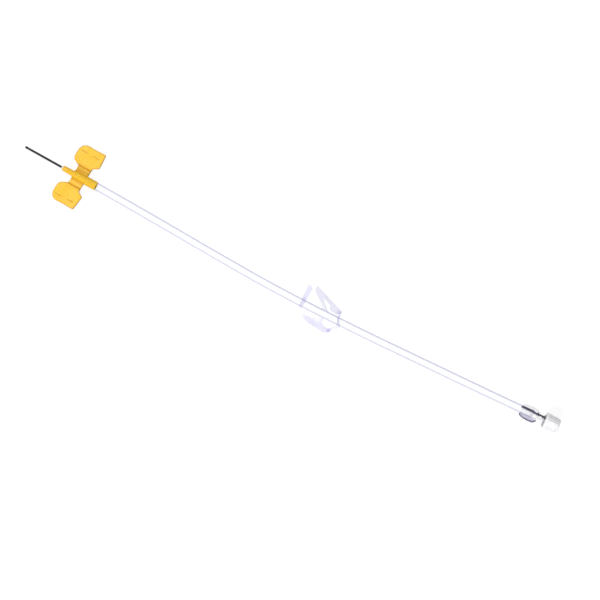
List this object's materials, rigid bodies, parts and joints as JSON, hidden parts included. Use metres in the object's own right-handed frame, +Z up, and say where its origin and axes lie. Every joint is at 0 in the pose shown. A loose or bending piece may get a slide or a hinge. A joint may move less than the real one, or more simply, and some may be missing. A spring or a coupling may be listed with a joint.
{
  "type": "arteriovenous fistula needle",
  "caption": "Winged steel needle on soft clear tubing with a slide-on pinch clamp, a finned female luer connector and a white ribbed cap.",
  "frame": {"origin": "on the underside of the hub, below the needle's axis and midway along the collar that carries the wings", "axes": "+X from the needle's tip to the hub and on to the tube, +Y to the right wing as seen with the wings flat and the tip pointing away, +Z up from the surface that the wings lie on"},
  "size_m": [0.3531, 0.037, 0.0095],
  "materials": {
    "needle_steel": "fine drawn",
    "adhesive": "cured clear",
    "amber_plastic": "soft moulded, satin",
    "clear_tubing": "clear and soft",
    "clamp_plastic": "translucent moulded",
    "clear_connector": "clear moulded",
    "white_plastic": "moulded"
  },
  "bodies": {
    "hub_and_tube": {"hub": "amber_plastic", "cannula": "needle_steel", "adhesive_bead": "adhesive", "tube": "clear_tubing", "connector": "clear_connector"},
    "right_wing": {"right_wing": "amber_plastic"},
    "left_wing": {"left_wing": "amber_plastic"},
    "clamp": {"clamp_frame": "clamp_plastic"},
    "lever": {"clamp_lever": "clamp_plastic"},
    "cap": {"cap": "white_plastic"}
  },
  "joints": [
    {"name": "right_wing_fold", "type": "hinge", "parent": "hub_and_tube", "child": "right_wing", "pos_m": [0, 0.00252, 0.0013], "axis": [1, 0, 0], "range_deg": [0, 85], "stiffness_Nm_per_rad": 0.005},
    {"name": "left_wing_fold", "type": "hinge", "parent": "hub_and_tube", "child": "left_wing", "pos_m": [0, -0.00252, 0.0013], "axis": [-1, 0, 0], "range_deg": [0, 85], "stiffness_Nm_per_rad": 0.005},
    {"name": "clamp_slide", "type": "slide", "parent": "hub_and_tube", "child": "clamp", "axis": [0.9991, 0.043, 0], "range_m": [-0.008, 0.012]},
    {"name": "lever_pinch", "type": "hinge", "parent": "clamp", "child": "lever", "pos_m": [0.17232, 0.00468, 0.00475], "axis": [0, 0, 1], "range_deg": [0, 20], "stiffness_Nm_per_rad": 0.05, "deforming": ["tube"]},
    {"name": "cap_pull", "type": "slide", "parent": "hub_and_tube", "child": "cap", "axis": [0.9974, 0.0715, 0], "range_m": [0, 0.012]}
  ]
}
